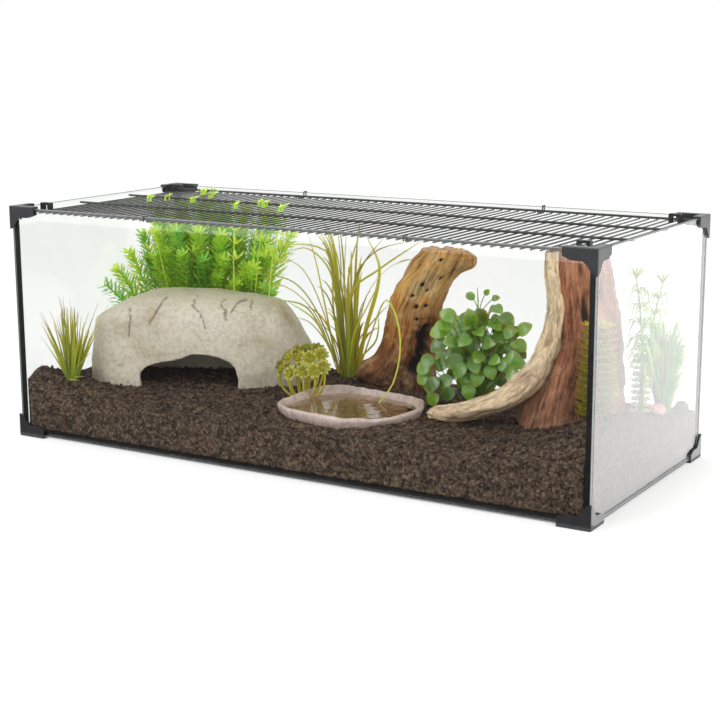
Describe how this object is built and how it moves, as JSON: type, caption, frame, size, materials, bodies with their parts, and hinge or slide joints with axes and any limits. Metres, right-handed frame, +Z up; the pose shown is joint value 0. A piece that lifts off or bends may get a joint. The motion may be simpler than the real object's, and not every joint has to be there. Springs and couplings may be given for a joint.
{
  "type": "tortoise enclosure",
  "caption": "Long glass enclosure with moulded corner caps, a lift-off welded wire lid on bent wire hooks, and a planted soil bed with hide, dish and driftwood.",
  "frame": {"origin": "on the surface it stands on, under the middle of the enclosure", "axes": "+X along the length to the right end, +Y from the front pane to the rear pane, +Z up"},
  "size_m": [0.8, 0.345, 0.3022],
  "materials": {
    "clear_glass": "clear float glass, ground edges",
    "black_silicone": "smooth, slightly glossy",
    "charcoal_plastic": "satin moulded",
    "coated_wire": "dark powder coat",
    "hook_steel": "dark coated bent wire",
    "black_clip": "satin moulded",
    "coconut_soil": "loose dark fibre soil",
    "cast_stone": "rough cast resin stone",
    "glazed_resin": "smooth glazed resin",
    "driftwood": "weathered root wood",
    "pale_blades": "thin leaves",
    "bright_sprigs": "fine feathery leaves",
    "deep_leaves": "glossy round leaves",
    "olive_rosettes": "fleshy leaves",
    "pink_stone": "matt pebble",
    "dark_stone": "matt pebble"
  },
  "bodies": {
    "tank": {"pane_front": "clear_glass", "pane_rear": "clear_glass", "pane_bottom": "clear_glass", "pane_left": "clear_glass", "pane_right": "clear_glass", "seam_front_left": "black_silicone", "seam_front_right": "black_silicone", "seam_rear_left": "black_silicone", "seam_rear_right": "black_silicone", "seam_bottom_front": "black_silicone", "seam_bottom_rear": "black_silicone", "seam_bottom_left": "black_silicone", "seam_bottom_right": "black_silicone", "cap_top_front_left": "charcoal_plastic", "cap_top_front_right": "charcoal_plastic", "cap_top_rear_left": "charcoal_plastic", "cap_top_rear_right": "charcoal_plastic", "cap_bottom_front_left": "charcoal_plastic", "cap_bottom_front_right": "charcoal_plastic", "cap_bottom_rear_left": "charcoal_plastic", "cap_bottom_rear_right": "charcoal_plastic", "soil_bed": "coconut_soil", "rock_hide": "cast_stone", "water_dish": "glazed_resin", "driftwood_centre": "driftwood", "driftwood_right": "driftwood", "grass_left": "pale_blades", "tall_grass": "pale_blades", "bushy_plant": "bright_sprigs", "leafy_plant": "deep_leaves", "succulent": "olive_rosettes", "grass_right": "bright_sprigs", "thin_stems": "bright_sprigs", "whorl_plant_front": "olive_rosettes", "whorl_plant_rear": "olive_rosettes", "pink_rock": "pink_stone", "dark_rock": "dark_stone"},
    "lid": {"lid_grid": "coated_wire", "hook_front_left": "hook_steel", "hook_front_right": "hook_steel", "hook_rear_left": "hook_steel", "hook_rear_right": "hook_steel", "clip_front_left": "black_clip", "clip_front_right": "black_clip", "clip_rear_left": "black_clip", "clip_rear_right": "black_clip"}
  },
  "joints": [
    {"name": "lid_lift", "type": "slide", "parent": "tank", "child": "lid", "axis": [0, 0, 1], "range_m": [0, 0.12]}
  ]
}
